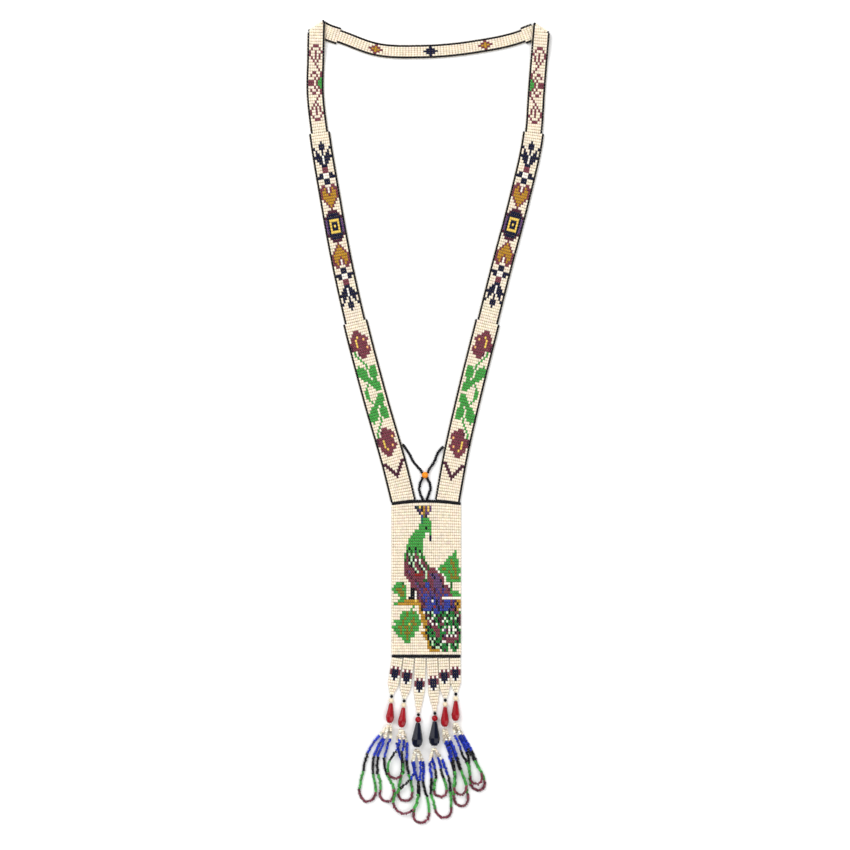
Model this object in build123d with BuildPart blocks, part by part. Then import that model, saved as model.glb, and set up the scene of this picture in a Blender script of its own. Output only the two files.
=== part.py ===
from build123d import *
from math import cos, degrees, hypot, pi, radians, sin, tan
import os

os.makedirs("parts", exist_ok=True)

# A loom-beaded necklace lying flat: a peacock panel, six tabs with glass drops and looped
# fringe below it, and above it two tapering straps joined by a band at the neck.
# +X is the wearer's width, +Y runs from the fringe to the neck, +Z is up, off the table.
# The origin is the middle of the panel's back face.

# seed beads: a woven row is BEAD thick, and the pitches include the thread between beads
BEAD = 2.1
ROW_PITCH = 2.15
PANEL_COLUMN = 1.55
STRAP_COLUMN = 1.42
EDGE_ROUND = 1.0
MID = BEAD / 2

PANEL_COLUMNS = 33
PANEL_ROWS = 52
PANEL_W = PANEL_COLUMNS * PANEL_COLUMN
PANEL_H = PANEL_ROWS * ROW_PITCH
BORDER_GAP = 0.1
BORDER_Y = PANEL_H / 2 + BORDER_GAP + MID
# a woven end turns round a border row, or folds against the next strap, at these reaches
PIN_REACH = 2.3
FOLD_REACH = 1.7

# each strap loses two columns at a step, and folds flat there
LOWER_COLUMNS = 13
MIDDLE_COLUMNS = 11
UPPER_COLUMNS = 9
FOLD_1_Y = 190.2
FOLD_2_Y = 330.2
# the middle line of each strap, from the panel to the neck
LEFT_LINE = [
    (-16.6, BORDER_Y),
    (-22.3, 80),
    (-37.5, 133),
    (-52.5, FOLD_1_Y),
    (-63.1, 238),
    (-71.6, 285),
    (-78.9, FOLD_2_Y),
    (-82.1, 360),
    (-81.6, 387),
    (-81.1, 409),
]
RIGHT_LINE = [
    (15.4, BORDER_Y),
    (22.0, 93),
    (31.2, 133.7),
    (45.4, FOLD_1_Y),
    (56.0, 232),
    (68.8, 280.5),
    (79.4, FOLD_2_Y),
    (81.5, 360),
    (83.5, 386),
    (85.2, 407),
]
# the upper straps climb over the ends of the neck band, which they are folded onto
CLIMB_FROM_Y = 380
CLIMB_TO_Y = 396
LAYER_GAP = 0.15
FOLDED_LIFT = BEAD + LAYER_GAP
LEFT_CORNER = [(-86.9, 405.0), (-75.2, 412.8)]
RIGHT_CORNER = [(90.6, 403.6), (79.4, 410.8)]
# how far below its slanting fold each edge of an upper strap turns towards the corner
OUTER_TURN = 12
INNER_TURN = 14
# points of a middle line nearer than this to a strap's end are left out of its edges
EDGE_CLEAR = 6
# the neck band sags between the straps, and its wider ends lie under them
NECK_TOP = [(-61.6, 405.6), (-36, 396.4), (-4, 395.0), (36, 398.6), (68.2, 405.8)]
NECK_BELOW = [(-64.2, 396.2), (-37, 387.0), (-4, 385.2), (37, 388.8), (71.2, 396.2)]
LEFT_END = [(-65.6, 407.4), (-75.4, 412.4), (-86.2, 405.2), (-67.8, 397.6)]
RIGHT_END = [(75.0, 398.0), (90.0, 403.6), (79.6, 410.4), (72.0, 407.6)]

TABS = 6
TAB_COLUMNS = 5
TAB_PITCH = PANEL_W / TABS
TAB_SLACK = 0.2
TAB_W = TAB_COLUMNS * PANEL_COLUMN + TAB_SLACK
TAB_TIP_SLANT = 0.6
TAB_TIP_W = 2.4
TAB_END_GAP = 1.4
# where each tab ends, in its black bead: x, y, height of the hole, and the tab's taper length
TAB_ENDS = [
    (-25.6, -86.7, 1.6, 9),
    (-16.3, -90.0, 1.6, 10),
    (-5.8, -100.2, 1.75, 19),
    (6.4, -99.2, 1.75, 15),
    (14.1, -89.5, 1.6, 11),
    (21.9, -85.1, 1.6, 8),
]
TIP_BEAD = 2.4
THREAD_R = 0.3
THREAD_PROUD = 0.05
BEAD_HOLE_R = 0.36

# glass drops: small red ones outside, large dark ones on the two middle tabs
SMALL = {"collar": 3.6, "length": 14.4, "radius": 3.1, "neck": 1.35, "foot": 1.5, "rest": 3.15}
LARGE = {"collar": 4.5, "length": 17.8, "radius": 4.15, "neck": 1.6, "foot": 2.0, "rest": 4.25}
DROP_KINDS = [SMALL, SMALL, LARGE, LARGE, SMALL, SMALL]
DROP_FACETS = 8
# a drop is widest here, and rounds off below it: shares of its length and of its radius
DROP_WIDEST = 0.7
DROP_ROUNDING = (0.89, 0.84)
DROP_HOLE_R = 0.38
COLLAR_GAP = 0.1
FRINGE_GAP = 0.8
# the lower end of each drop's thread in plan, which sets the way the drop lies
DROP_AIMS = [
    (-27.2, -107.2),
    (-18.4, -109.9),
    (-6.9, -124.4),
    (5.9, -123.4),
    (13.6, -109.4),
    (21.6, -105.2),
]

# fringe strands: two loops of beads hang from every drop
STRAND = 1.9
# The route of each loop, out from the drop, round its tip and back. Loops that lie on
# others run one strand higher. Every leg and tip is as uneven as the beads fell.
LOOPS = {
    "fringe_loop_1a": [
        (-28.5, -109.2, 2.5), (-33.4, -113.9, 1.3), (-39.6, -121.4, 1.0), (-44.6, -131.0, 1.0),
        (-46.6, -142.5, 1.0), (-49.0, -151.5, 1.0), (-49.4, -159.6, 1.0), (-47.0, -163.2, 1.0),
        (-43.3, -164.4, 1.0), (-39.6, -163.0, 1.0), (-37.3, -159.6, 1.0), (-37.6, -151.6, 1.0),
        (-40.0, -140.8, 1.0), (-38.8, -129.5, 1.0), (-33.6, -119.6, 1.0), (-29.0, -114.0, 1.4),
        (-26.2, -109.4, 2.5),
    ],
    "fringe_loop_1b": [
        (-28.5, -109.2, 4.6), (-30.0, -114.8, 3.6), (-32.4, -122.8, 2.4), (-36.0, -131.5, 1.0),
        (-36.6, -141.0, 1.0), (-34.2, -148.2, 1.0), (-33.6, -154.6, 1.0), (-34.6, -160.4, 1.0),
        (-32.7, -163.4, 1.0), (-29.2, -164.6, 1.0), (-25.8, -163.4, 1.0), (-23.8, -160.4, 1.0),
        (-24.0, -153.2, 1.0), (-28.8, -145.4, 1.0), (-31.6, -136.0, 1.0), (-29.6, -125.8, 1.2),
        (-26.2, -117.0, 3.2), (-26.3, -109.2, 4.6),
    ],
    "fringe_loop_2a": [
        (-19.6, -111.9, 2.5), (-21.6, -118.2, 1.3), (-20.6, -127.0, 1.0), (-17.6, -135.4, 1.0),
        (-18.0, -144.6, 1.0), (-20.2, -152.6, 1.0), (-20.8, -160.1, 1.0), (-18.7, -163.0, 1.0),
        (-15.3, -164.2, 1.0), (-11.9, -163.1, 1.0), (-9.9, -160.0, 1.0), (-10.6, -152.0, 1.0),
        (-13.4, -142.4, 1.0), (-14.7, -132.2, 1.0), (-13.6, -122.8, 1.0), (-15.4, -116.9, 1.4),
        (-17.4, -111.9, 2.5),
    ],
    "fringe_loop_2b": [
        (-19.6, -111.9, 4.6), (-19.4, -117.8, 3.6), (-21.4, -126.0, 3.2), (-26.6, -132.6, 3.2),
        (-29.0, -140.0, 3.2), (-26.6, -146.0, 3.2), (-21.2, -147.8, 3.2), (-17.0, -144.0, 3.2),
        (-16.8, -137.2, 3.2), (-18.0, -130.0, 3.2), (-16.4, -122.2, 3.4), (-17.0, -116.4, 4.2),
        (-17.4, -111.9, 4.6),
    ],
    "fringe_loop_3a": [
        (-8.2, -126.4, 4.0), (-10.4, -132.2, 2.2), (-9.2, -140.4, 1.0), (-5.8, -149.6, 1.0),
        (-4.8, -159.8, 1.0), (-8.4, -168.2, 1.0), (-9.9, -175.9, 1.0), (-7.8, -179.2, 1.0),
        (-4.0, -180.5, 1.0), (-0.2, -179.3, 1.0), (2.0, -176.0, 1.0), (2.4, -168.0, 1.0),
        (-0.4, -158.6, 1.0), (-2.4, -148.6, 1.0), (-1.6, -139.4, 1.0), (-3.4, -131.8, 2.0),
        (-5.9, -126.4, 4.0),
    ],
    "fringe_loop_3b": [
        (-8.2, -126.4, 6.1), (-9.4, -131.8, 5.2), (-8.0, -139.6, 3.4), (-11.0, -147.8, 3.2),
        (-17.6, -153.0, 3.2), (-23.4, -159.0, 3.2), (-25.0, -166.0, 3.2), (-21.0, -172.0, 3.2),
        (-14.4, -173.4, 3.2), (-8.6, -170.0, 3.2), (-5.8, -162.4, 3.2), (-6.4, -153.4, 3.2),
        (-4.2, -144.4, 3.2), (-4.0, -136.8, 3.6), (-5.6, -131.2, 5.2), (-5.9, -126.4, 6.1),
    ],
    "fringe_loop_4a": [
        (4.8, -125.4, 4.0), (4.0, -131.0, 2.0), (6.2, -138.2, 1.0), (7.6, -145.8, 1.0),
        (5.8, -151.8, 1.0), (5.6, -157.4, 1.0), (7.3, -160.2, 1.0), (10.4, -161.2, 1.0),
        (13.5, -160.0, 1.0), (15.2, -157.4, 1.0), (14.4, -151.2, 1.0), (11.6, -144.0, 1.0),
        (10.4, -136.8, 1.0), (8.8, -130.6, 2.2), (7.1, -125.4, 4.0),
    ],
    "fringe_loop_4b": [
        (4.8, -125.4, 6.1), (2.8, -131.0, 4.6), (2.6, -139.0, 1.6), (4.2, -148.0, 1.0),
        (2.8, -157.0, 1.0), (5.4, -165.0, 1.0), (7.0, -172.1, 1.0), (9.2, -175.4, 1.0),
        (13.0, -176.7, 1.0), (16.8, -175.3, 1.0), (18.8, -172.2, 1.0), (18.4, -164.4, 1.0),
        (17.7, -155.2, 1.0), (16.9, -146.8, 1.0), (14.0, -140.2, 1.0), (12.8, -134.6, 2.4),
        (9.6, -130.2, 4.8), (7.1, -125.4, 6.1),
    ],
    "fringe_loop_5a": [
        (12.5, -111.4, 2.5), (13.2, -117.6, 1.3), (16.4, -125.8, 1.0), (18.2, -134.2, 1.0),
        (21.0, -142.4, 1.0), (21.4, -150.4, 1.0), (20.4, -157.2, 1.0), (20.6, -164.0, 1.0),
        (22.6, -167.1, 1.0), (26.0, -168.3, 1.0), (29.2, -167.0, 1.0), (31.2, -163.8, 1.0),
        (30.6, -156.8, 1.0), (28.8, -149.4, 1.0), (25.6, -141.6, 1.0), (22.2, -133.2, 1.0),
        (19.8, -125.4, 1.0), (16.9, -118.2, 1.3), (14.7, -111.4, 2.5),
    ],
    "fringe_loop_5b": [
        (12.5, -111.4, 4.6), (14.6, -118.0, 3.6), (18.0, -126.0, 3.2), (19.6, -134.2, 3.2),
        (21.4, -142.0, 3.2), (20.6, -149.4, 3.2), (20.4, -155.6, 3.2), (22.1, -158.3, 3.2),
        (25.2, -159.4, 3.2), (28.2, -158.2, 3.2), (29.8, -155.4, 3.2), (29.2, -149.6, 3.2),
        (26.4, -142.6, 3.2), (23.6, -134.2, 3.2), (21.0, -125.8, 3.2), (16.9, -117.8, 3.8),
        (14.7, -111.4, 4.6),
    ],
    "fringe_loop_6a": [
        (20.5, -107.2, 2.5), (22.4, -113.4, 1.3), (27.0, -121.0, 1.0), (30.6, -129.0, 1.0),
        (32.0, -137.6, 1.0), (32.2, -145.6, 1.0), (33.0, -152.2, 1.0), (35.0, -155.5, 1.0),
        (38.5, -156.7, 1.0), (41.9, -155.4, 1.0), (43.9, -152.2, 1.0), (42.2, -145.4, 1.0),
        (38.2, -138.4, 1.0), (34.9, -129.8, 1.0), (30.6, -121.0, 1.0), (25.8, -113.8, 1.3),
        (22.7, -107.2, 2.5),
    ],
    "fringe_loop_6b": [
        (20.5, -107.2, 4.6), (20.6, -113.6, 3.8), (24.0, -121.6, 3.2), (26.8, -129.6, 3.2),
        (30.6, -136.2, 3.2), (32.4, -142.2, 3.2), (32.4, -147.6, 3.2), (34.0, -150.2, 3.2),
        (37.0, -151.3, 3.2), (40.0, -150.2, 3.2), (41.6, -147.6, 3.2), (40.6, -141.8, 3.2),
        (36.4, -135.2, 3.2), (32.4, -128.0, 3.2), (28.2, -120.4, 3.2), (24.6, -113.4, 3.8),
        (22.7, -107.2, 4.6),
    ],
}

# link strands run from each strap's inner edge to one large bead, and bow on to the panel
LINK = 1.7
LINK_BEAD_D = 4.8
LINK_BEAD_AT = (-0.9, 77.0, 2.45)
LINKS = {
    "left_link_strand": [(-17.4, 99.8, 0.95), (-13.3, 94.6, 0.95), (-9.6, 86.2, 0.95), (-3.0, 79.9, 1.6)],
    "right_link_strand": [(12.9, 98.0, 0.95), (8.8, 94.9, 0.95), (6.2, 86.4, 0.95), (0.9, 79.9, 1.6)],
    "left_bow_strand": [(-2.6, 74.2, 1.6), (-5.3, 69.6, 0.95), (-5.0, 63.6, 0.95), (-2.4, 59.5, 0.95)],
    "right_bow_strand": [(0.5, 74.2, 1.6), (3.5, 69.6, 0.95), (2.5, 63.7, 0.95), (0.3, 59.5, 0.95)],
}


def save(piece, name):
    piece.label = name
    export_step(piece, f"parts/{name}.step")


def line_at(line, y):
    """The x of a strap's middle line at a height y, and its lean from straight up."""
    for (x0, y0), (x1, y1) in zip(line, line[1:]):
        if y <= y1 or (x1, y1) == line[-1]:
            share = (y - y0) / (y1 - y0)
            return x0 + share * (x1 - x0), (x1 - x0) / (y1 - y0)


def edge_points(line, y_low, y_high, width, side):
    """Points of one edge of a strap, half its width out from the middle line."""
    heights = [y_low] + [y for _, y in line if y_low + EDGE_CLEAR < y < y_high - EDGE_CLEAR] + [y_high]
    points = []
    for y in heights:
        x, lean = line_at(line, y)
        points.append((x + side * width / 2 * hypot(1, lean), y))
    return points


def round_ends(part, heights):
    """Full-round ends, so that a strap can turn against the next piece."""
    ends = part.edges().filter_by(Axis.X)
    fillet([e for e in ends if min(abs(e.center().Y - y) for y in heights) < 0.01], EDGE_ROUND)


def strap(line, y_low, y_high, columns):
    width = columns * STRAP_COLUMN
    left = edge_points(line, y_low, y_high, width, -1)
    right = edge_points(line, y_low, y_high, width, 1)
    with BuildPart() as woven:
        with BuildSketch():
            with BuildLine():
                Spline(*left)
                Line(left[-1], right[-1])
                Spline(*right)
                Line(right[0], left[0])
            make_face()
        extrude(amount=BEAD)
        round_ends(woven, (y_low, y_high))
    return woven.part


def upper_strap(line, corner):
    """The top strap: it climbs over the neck band's end and stops at a slanting fold."""
    width = UPPER_COLUMNS * STRAP_COLUMN
    outside = 1 if corner[0][0] > 0 else -1
    y_low = FOLD_2_Y + FOLD_REACH - MID
    outer = edge_points(line, y_low, corner[0][1] - OUTER_TURN, width, outside) + [corner[0]]
    inner = edge_points(line, y_low, corner[1][1] - INNER_TURN, width, -outside) + [corner[1]]
    with BuildPart() as woven:
        with BuildSketch():
            with BuildLine():
                Spline(*outer)
                Line(outer[-1], inner[-1])
                Spline(*inner)
                Line(inner[0], outer[0])
            make_face()
        extrude(amount=FOLDED_LIFT + BEAD)
        above = corner[1][1] + MID
        with BuildSketch(Plane.YZ):
            with BuildLine():
                Polyline(
                    (y_low, 0),
                    (CLIMB_FROM_Y, 0),
                    (CLIMB_TO_Y, FOLDED_LIFT),
                    (above, FOLDED_LIFT),
                    (above, FOLDED_LIFT + BEAD),
                    (CLIMB_TO_Y, FOLDED_LIFT + BEAD),
                    (CLIMB_FROM_Y, BEAD),
                    (y_low, BEAD),
                    close=True,
                )
            make_face()
        extrude(amount=2 * PANEL_H, both=True, mode=Mode.INTERSECT)
        round_ends(woven, (y_low,))
    return woven.part


def plane_along(start, end):
    """A plane at start that faces end."""
    way = Vector(*end) - Vector(*start)
    return Plane(origin=start, x_dir=(1, 0, 0), z_dir=way.normalized())


def round_bead(at, along, diameter):
    """A glass bead, drilled for its thread and flattened a little at the hole."""
    with BuildPart(Plane(origin=at, x_dir=(1, 0, 0), z_dir=along)) as bead:
        Sphere(diameter / 2)
        Cylinder(BEAD_HOLE_R, diameter, mode=Mode.SUBTRACT)
    return bead.part


def corner_radii(points):
    """The arc at each turn, as large as its two runs allow."""
    radii = []
    for before, here, after in zip(points, points[1:], points[2:]):
        into = Vector(*here) - Vector(*before)
        out = Vector(*after) - Vector(*here)
        half_turn = radians(into.get_angle(out)) / 2
        radii.append(0.45 * min(into.length, out.length) / tan(half_turn))
    return radii


def strand(name, points, diameter):
    """A string of seed beads as a plain tube along straight runs and tangent arcs."""
    radii = corner_radii(points)
    with BuildPart() as tube:
        with BuildLine() as route:
            FilletPolyline(*points, radius=radii)
        with BuildSketch(plane_along(points[0], points[1])):
            Circle(diameter / 2)
        sweep(path=route.wires()[0])
    length = route.wires()[0].length
    expected = length * pi * diameter**2 / 4
    print(name, "length", round(length, 1), "radii", [round(r, 1) for r in radii])
    print("   volume against section times length", round(tube.part.volume / expected, 4))
    return tube.part


# the peacock panel and the black border rows that its neighbours turn on
with BuildPart() as peacock_panel:
    Box(PANEL_W, PANEL_H, BEAD, align=(Align.CENTER, Align.CENTER, Align.MIN))
save(peacock_panel.part, "peacock_panel")

for name, y in (("panel_top_row", BORDER_Y), ("panel_bottom_row", -BORDER_Y)):
    with BuildPart(Plane.YZ.offset(-PANEL_W / 2)) as border_row:
        with Locations((y, MID)):
            Cylinder(MID, PANEL_W, align=(Align.CENTER, Align.CENTER, Align.MIN))
    save(border_row.part, name)

# the straps
for side, line, corner in (("left", LEFT_LINE, LEFT_CORNER), ("right", RIGHT_LINE, RIGHT_CORNER)):
    seam_end = BORDER_Y + PIN_REACH - MID
    fold = FOLD_REACH - MID
    save(strap(line, seam_end, FOLD_1_Y - fold, LOWER_COLUMNS), f"{side}_lower_strap")
    save(strap(line, FOLD_1_Y + fold, FOLD_2_Y - fold, MIDDLE_COLUMNS), f"{side}_middle_strap")
    save(upper_strap(line, corner), f"{side}_upper_strap")

# the neck band
with BuildPart() as neck_band:
    with BuildSketch():
        with BuildLine():
            Spline(*NECK_TOP)
            Polyline(NECK_TOP[-1], *reversed(RIGHT_END), NECK_BELOW[-1])
            Spline(*NECK_BELOW)
            Polyline(NECK_BELOW[0], *reversed(LEFT_END), NECK_TOP[0])
        make_face()
    extrude(amount=BEAD)
save(neck_band.part, "neck_band")

# tabs, and below each one a black bead, a round bead and a glass drop on one thread
for number in range(1, TABS + 1):
    end_x, end_y, end_z, taper = TAB_ENDS[number - 1]
    kind = DROP_KINDS[number - 1]
    root_x = (number - (TABS + 1) / 2) * TAB_PITCH
    root_y = -BORDER_Y - PIN_REACH + MID
    tip_y = end_y + TAB_END_GAP
    tip_x = end_x + (root_x - end_x) * TAB_END_GAP / (root_y - end_y)
    full_y = tip_y + taper
    full_x = end_x + (root_x - end_x) * (full_y - end_y) / (root_y - end_y)
    with BuildPart() as tab:
        with BuildSketch():
            with BuildLine():
                left_taper = [(full_x - TAB_W / 2, full_y), (tip_x - TAB_TIP_W / 2, tip_y)]
                right_taper = [(full_x + TAB_W / 2, full_y), (tip_x + TAB_TIP_W / 2, tip_y)]
                Line((root_x - TAB_W / 2, root_y), left_taper[0])
                Spline(*left_taper, tangents=((0, -1), (TAB_TIP_SLANT, -1)))
                Line(left_taper[1], right_taper[1])
                Spline(*right_taper, tangents=((0, -1), (-TAB_TIP_SLANT, -1)))
                Line(right_taper[0], (root_x + TAB_W / 2, root_y))
                Line((root_x + TAB_W / 2, root_y), (root_x - TAB_W / 2, root_y))
            make_face()
        extrude(amount=BEAD)
        round_ends(tab, (root_y,))
    save(tab.part, f"tab_{number}")

    # the thread rises from the tab's tip to the middle of the drop, which rests on its side
    reach = TIP_BEAD / 2 + kind["collar"] + 2 * COLLAR_GAP
    widest_at = reach + DROP_WIDEST * kind["length"]
    aim_x, aim_y = DROP_AIMS[number - 1]
    rise = (kind["rest"] - end_z) / widest_at
    flat = cos(rise)
    heading = Vector(aim_x - end_x, aim_y - end_y, 0).normalized()
    along = Vector(heading.X * flat, heading.Y * flat, sin(rise)).normalized()
    top = Vector(end_x, end_y, end_z)
    collar_at = top + along * (TIP_BEAD / 2 + COLLAR_GAP + kind["collar"] / 2)
    drop_top = top + along * reach
    drop_foot = top + along * (reach + kind["length"])
    fringe_pin = top + along * (reach + kind["length"] + FRINGE_GAP)
    save(round_bead(top, along, TIP_BEAD), f"tip_bead_{number}")
    save(round_bead(collar_at, along, kind["collar"]), f"collar_bead_{number}")

    thread_start = top - along * (TIP_BEAD / 2 + THREAD_PROUD)
    thread_length = reach + kind["length"] + FRINGE_GAP + TIP_BEAD / 2
    with BuildPart(Plane(origin=thread_start, x_dir=(1, 0, 0), z_dir=along)) as thread:
        Cylinder(THREAD_R, thread_length, align=(Align.CENTER, Align.CENTER, Align.MIN))
    save(thread.part, f"drop_thread_{number}")

    drop_plane = Plane(origin=drop_top, x_dir=(1, 0, 0), z_dir=along)
    levels = [
        (0, kind["neck"]),
        (DROP_WIDEST, kind["radius"]),
        (DROP_ROUNDING[0], DROP_ROUNDING[1] * kind["radius"]),
        (1, kind["foot"]),
    ]
    with BuildPart() as drop:
        for share, radius in levels:
            with BuildSketch(drop_plane.offset(share * kind["length"])):
                RegularPolygon(radius, DROP_FACETS)
        loft(ruled=True)
        with BuildSketch(drop_plane):
            Circle(DROP_HOLE_R)
        extrude(amount=kind["length"], mode=Mode.SUBTRACT)
    save(drop.part, f"drop_{number}")
    print(
        f"drop {number}: thread leans {degrees(rise):.1f} degrees, foot at",
        [round(v, 2) for v in drop_foot],
        "fringe pin at",
        [round(v, 2) for v in fringe_pin],
        "collar at",
        [round(v, 2) for v in collar_at],
        "direction",
        [round(v, 4) for v in along],
    )

# fringe loops
for name, points in LOOPS.items():
    save(strand(name, points, STRAND), name)

# link strands and the bead that gathers them
for name, points in LINKS.items():
    save(strand(name, points, LINK), name)
save(round_bead(LINK_BEAD_AT, (0, 1, 0), LINK_BEAD_D), "link_bead")
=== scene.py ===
import bpy
import numpy as np
from math import ceil, pi, sqrt
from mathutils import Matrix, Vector


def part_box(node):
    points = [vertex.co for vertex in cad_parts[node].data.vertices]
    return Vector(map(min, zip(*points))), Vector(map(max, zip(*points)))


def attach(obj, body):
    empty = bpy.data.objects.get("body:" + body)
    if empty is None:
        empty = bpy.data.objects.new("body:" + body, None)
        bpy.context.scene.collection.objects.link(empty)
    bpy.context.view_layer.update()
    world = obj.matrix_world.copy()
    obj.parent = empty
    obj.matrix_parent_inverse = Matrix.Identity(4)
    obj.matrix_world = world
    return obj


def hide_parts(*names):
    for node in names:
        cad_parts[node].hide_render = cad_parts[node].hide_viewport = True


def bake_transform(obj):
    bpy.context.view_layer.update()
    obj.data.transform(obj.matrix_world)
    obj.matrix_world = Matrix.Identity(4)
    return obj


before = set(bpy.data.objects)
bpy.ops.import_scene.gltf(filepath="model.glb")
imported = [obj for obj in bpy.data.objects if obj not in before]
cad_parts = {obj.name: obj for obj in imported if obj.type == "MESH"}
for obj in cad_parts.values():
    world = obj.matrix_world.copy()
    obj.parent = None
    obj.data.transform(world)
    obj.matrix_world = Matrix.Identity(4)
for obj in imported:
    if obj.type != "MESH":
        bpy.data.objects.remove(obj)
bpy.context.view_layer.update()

# The loom-beaded necklace, bead by bead. Lengths are in millimetres until a mesh is made.
MM = 0.001
rng = np.random.default_rng(52)

# seed beads: their axis lies along the woven row, so a row is as thick as a bead is wide
ROW_PITCH = 2.15
PANEL_COLUMN = 1.55
STRAP_COLUMN = 1.42
BEAD_R = 1.07
MID = 1.05
BEAD_FILL = 0.97
SIDES = 9
# a bead's outline: share of the half length, share of the radius
BEAD_PROFILE = [(-0.90, 0.44), (-1.0, 0.76), (-0.62, 1.0), (0.62, 1.0), (1.0, 0.76), (0.90, 0.44)]
# beads woven side by side are a little square in section
SQUARENESS = 0.07
WARP_R = 0.17
UP = (0, 0, 1.0)

# how unevenly the beads are made and strung: spreads of their size, place, shade and tint
SIZE_SPREAD = 0.018
SIZE_LIMITS = (0.95, 1.03)
WEAVE_JITTER = 0.022
SHADE_SPREAD = 0.05
TINT_SPREAD = 0.02
# a loose string's beads tilt, swell, shift aside and differ in brightness by these, at looseness
# 1; the wider brightness spread is random tone and painted glints of glass beads catching the
# light
LOOSE_TILT = 0.26
LOOSE_SWELL = 0.22
LOOSE_SHIFT = 0.2
LOOSE_TONE_AND_GLINT = 0.2

# each bead is unrolled in a square cell, clear of the cell's edges
UV_MARGIN = 0.06
UV_FILL = 0.88

# the camera looks straight down from well above
CAMERA_LENS = 100
CAMERA_SENSOR = 36
VIEW_WIDTH = 629
VIEW_AT = (-0.9, 114)
CAMERA_CLIP = 20

# floor and lights, in metres and watts
FLOOR_SIZE = 6
FLOOR_AT = (0, 0.1, -0.0003)
ROOM_STRENGTH = 0.5
LAMP_SIZE = 1.2
LAMPS = [("key", (-0.75, 0.95, 1.35), 25), ("fill", (0.95, -0.35, 1.5), 14)]
LAMP_AIM = (0, 0.11, 0)

panel_high = np.array(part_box("peacock_panel")[1]) / MM
PANEL_HALF_W = panel_high[0]
PANEL_TOP = panel_high[1]
PANEL_COLUMNS = round(2 * PANEL_HALF_W / PANEL_COLUMN)
PANEL_ROWS = round(2 * PANEL_TOP / ROW_PITCH)
BORDER_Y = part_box("panel_top_row")[1][1] / MM - MID
# the panel's top rows are drawn up in the middle, and the rows near them follow
ARCH = 2.1
ARCH_RAISED_SHARE = 0.33
ARCH_FADE = 12

FOLD_1_Y = 190.2
FOLD_2_Y = 330.2
STRAP_COLUMNS = {"lower": 13, "middle": 11, "upper": 9}
# the lower strap starts this far above the middle of the border row
LOWER_START = 1.15
# the strap's first rows lie level with the panel's, and turn to the strap's own way
FAN_ROWS = 8
# an upper strap's rows run this far past its corner, and are then cut along the slanting fold
UPPER_SPARE = 4
FOLD_CUT = -0.6
LINES = {
    "left": [
        (-16.6, 57.05), (-22.3, 80), (-37.5, 133), (-52.5, 190.2), (-63.1, 238),
        (-71.6, 285), (-78.9, 330.2), (-82.1, 360), (-81.6, 387), (-81.1, 409), (-80.8, 418),
    ],
    "right": [
        (15.4, 57.05), (22.0, 93), (31.2, 133.7), (45.4, 190.2), (56.0, 232),
        (68.8, 280.5), (79.4, 330.2), (81.5, 360), (83.5, 386), (85.2, 407), (85.9, 416),
    ],
}
CORNER_GIRTH = 1.05
CORNERS = {"left": [(-86.9, 405.0), (-75.2, 412.8)], "right": [(90.6, 403.6), (79.4, 410.8)]}
CLIMB_FROM_Y = 380
CLIMB_TO_Y = 396
FOLDED_LIFT = 2.25
NECK_LINE = [
    (-86, 411.5), (-80.5, 408.4), (-74.0, 404.8), (-62.9, 400.9), (-36.5, 391.7), (-4.0, 390.1),
    (36.5, 393.7), (69.7, 401.0), (77.5, 404.0), (84.5, 406.6), (90, 409),
]
NECK_WIDE_BEYOND = (-65.5, 71.5)

TABS = 6
TAB_PITCH = 2 * PANEL_HALF_W / TABS
# where each tab ends, and how long its taper is
TAB_ENDS = [
    (-25.6, -86.7, 9), (-16.3, -90.0, 10), (-5.8, -100.2, 19),
    (6.4, -99.2, 15), (14.1, -89.5, 11), (21.9, -85.1, 8),
]
TAB_MOTIF_Y = [-70.0, -71.6, -79.3, -77.7, -72.9, -70.0]
TAB_END_GAP = 1.4
TAB_COLUMNS = 5
TAB_POINT = 0.24
TAB_ROOT_Y = -58.3
LARGE_DROPS = (3, 4)

STRAND = 1.9
STRAND_PITCH = 1.47
FRINGE_FILL = 0.86
LINK = 1.7
LINK_GIRTH = 1.14
LINK_PITCH = 1.36
THREAD_R = 0.16
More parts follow.
